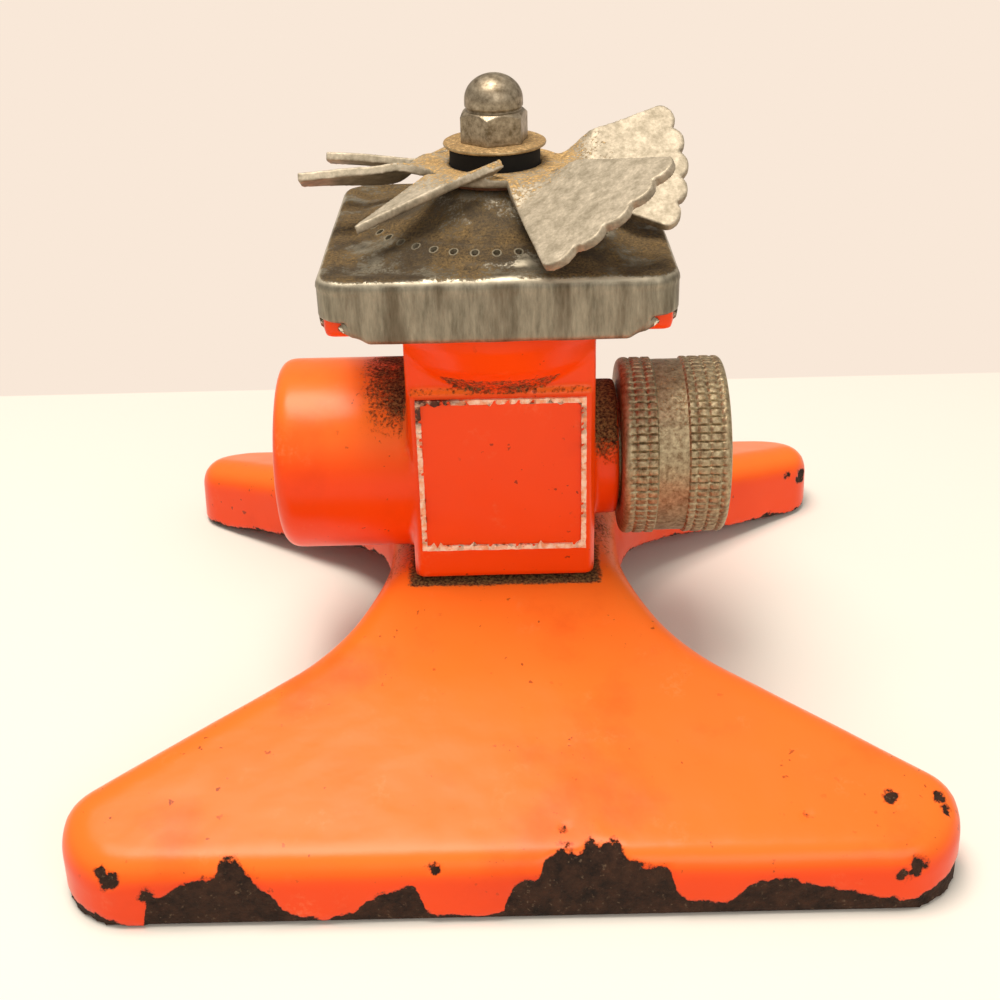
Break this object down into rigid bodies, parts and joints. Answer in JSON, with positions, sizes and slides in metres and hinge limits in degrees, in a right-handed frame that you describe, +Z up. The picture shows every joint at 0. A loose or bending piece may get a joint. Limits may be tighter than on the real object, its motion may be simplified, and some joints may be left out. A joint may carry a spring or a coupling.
{
  "type": "garden sprinkler",
  "caption": "Whirling lawn sprinkler: bow-tie foot, square jet head over a cast block, pitched sheet spinner on a spindle and a swivel hose coupling.",
  "frame": {"origin": "on the floor, under the middle of the foot", "axes": "+X out of the hose inlet, -Y to the front with the bordered panel, +Z up along the spindle"},
  "size_m": [0.1396, 0.1448, 0.1111],
  "materials": {
    "orange_enamel": "thick glossy orange enamel over bare castings, chipped along the toes",
    "galvanised_sheet": "dull galvanised pressed sheet, stained and dusty",
    "cast_zinc": "weathered bare metal, matt grey",
    "bright_steel": "dull plated steel",
    "black_nylon": "black bearing plastic",
    "fibre_seal": "red-brown fibre washer",
    "brass": "plain turned brass",
    "rubber": "black rubber"
  },
  "bodies": {
    "sprinkler_body": {"base": "orange_enamel", "base_screw_front": "bright_steel", "base_screw_rear": "bright_steel", "lock_washer_front": "bright_steel", "lock_washer_rear": "bright_steel", "body_casting": "orange_enamel", "cover_gasket": "rubber", "cover_plate": "galvanised_sheet", "spindle_bolt": "bright_steel", "spindle_seal": "fibre_seal", "bearing_bush": "black_nylon", "top_washer": "bright_steel", "dome_nut": "bright_steel", "inlet_tailpiece": "brass", "screen_rim": "brass", "inlet_screen": "brass", "hose_washer": "rubber"},
    "swivel": {"hose_coupling": "cast_zinc"},
    "lift": {"thrust_washer": "fibre_seal"},
    "whirler": {"spinner": "cast_zinc"}
  },
  "joints": [
    {"name": "hose_swivel", "type": "hinge", "parent": "sprinkler_body", "child": "swivel", "pos_m": [0.03, 0, 0.0445], "axis": [1, 0, 0], "continuous": true},
    {"name": "spinner_lift", "type": "slide", "parent": "sprinkler_body", "child": "lift", "axis": [0, 0, 1], "range_m": [0, 0.0025]},
    {"name": "spinner_spin", "type": "hinge", "parent": "lift", "child": "whirler", "pos_m": [0, 0, 0.096], "axis": [0, 0, 1], "continuous": true}
  ]
}
